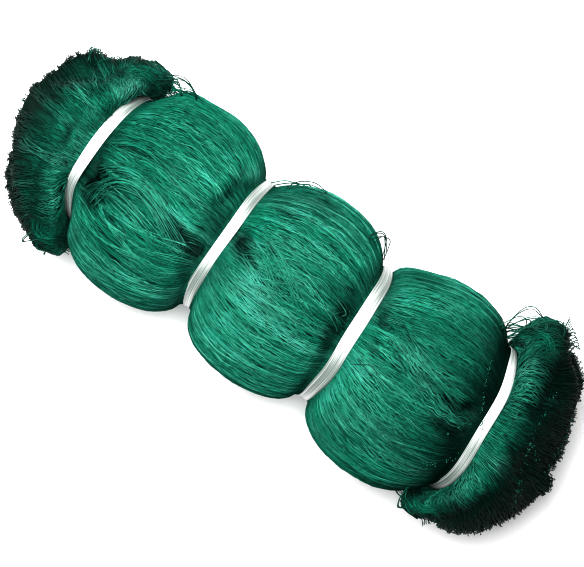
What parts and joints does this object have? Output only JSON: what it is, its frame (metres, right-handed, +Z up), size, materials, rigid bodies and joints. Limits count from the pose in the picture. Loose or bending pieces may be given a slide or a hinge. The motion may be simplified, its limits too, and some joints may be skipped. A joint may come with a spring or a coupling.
{
  "type": "fishing net, tied hank",
  "caption": "Long soft hank of fine knotted fishing netting, gathered lengthwise and drawn into plump lobes by flat ribbon ties, with ragged flared ends.",
  "frame": {"origin": "middle of the footprint, on the surface that the hank lies on", "axes": "+X along the hank towards the end whose flare reaches further to one side, +Y across it, +Z up"},
  "size_m": [0.6406, 0.2426, 0.1861],
  "materials": {
    "netting": "deep sea-green polyamide multifilament twine, silky along its strands, dark in its folds",
    "ribbon": "white polypropylene film ribbon, glossy, with fine lengthwise fibres"
  },
  "bodies": {
    "root": {"net_hank": "netting", "tie_1": "ribbon", "tie_2": "ribbon", "tie_3": "ribbon", "tie_4": "ribbon"}
  },
  "joints": []
}
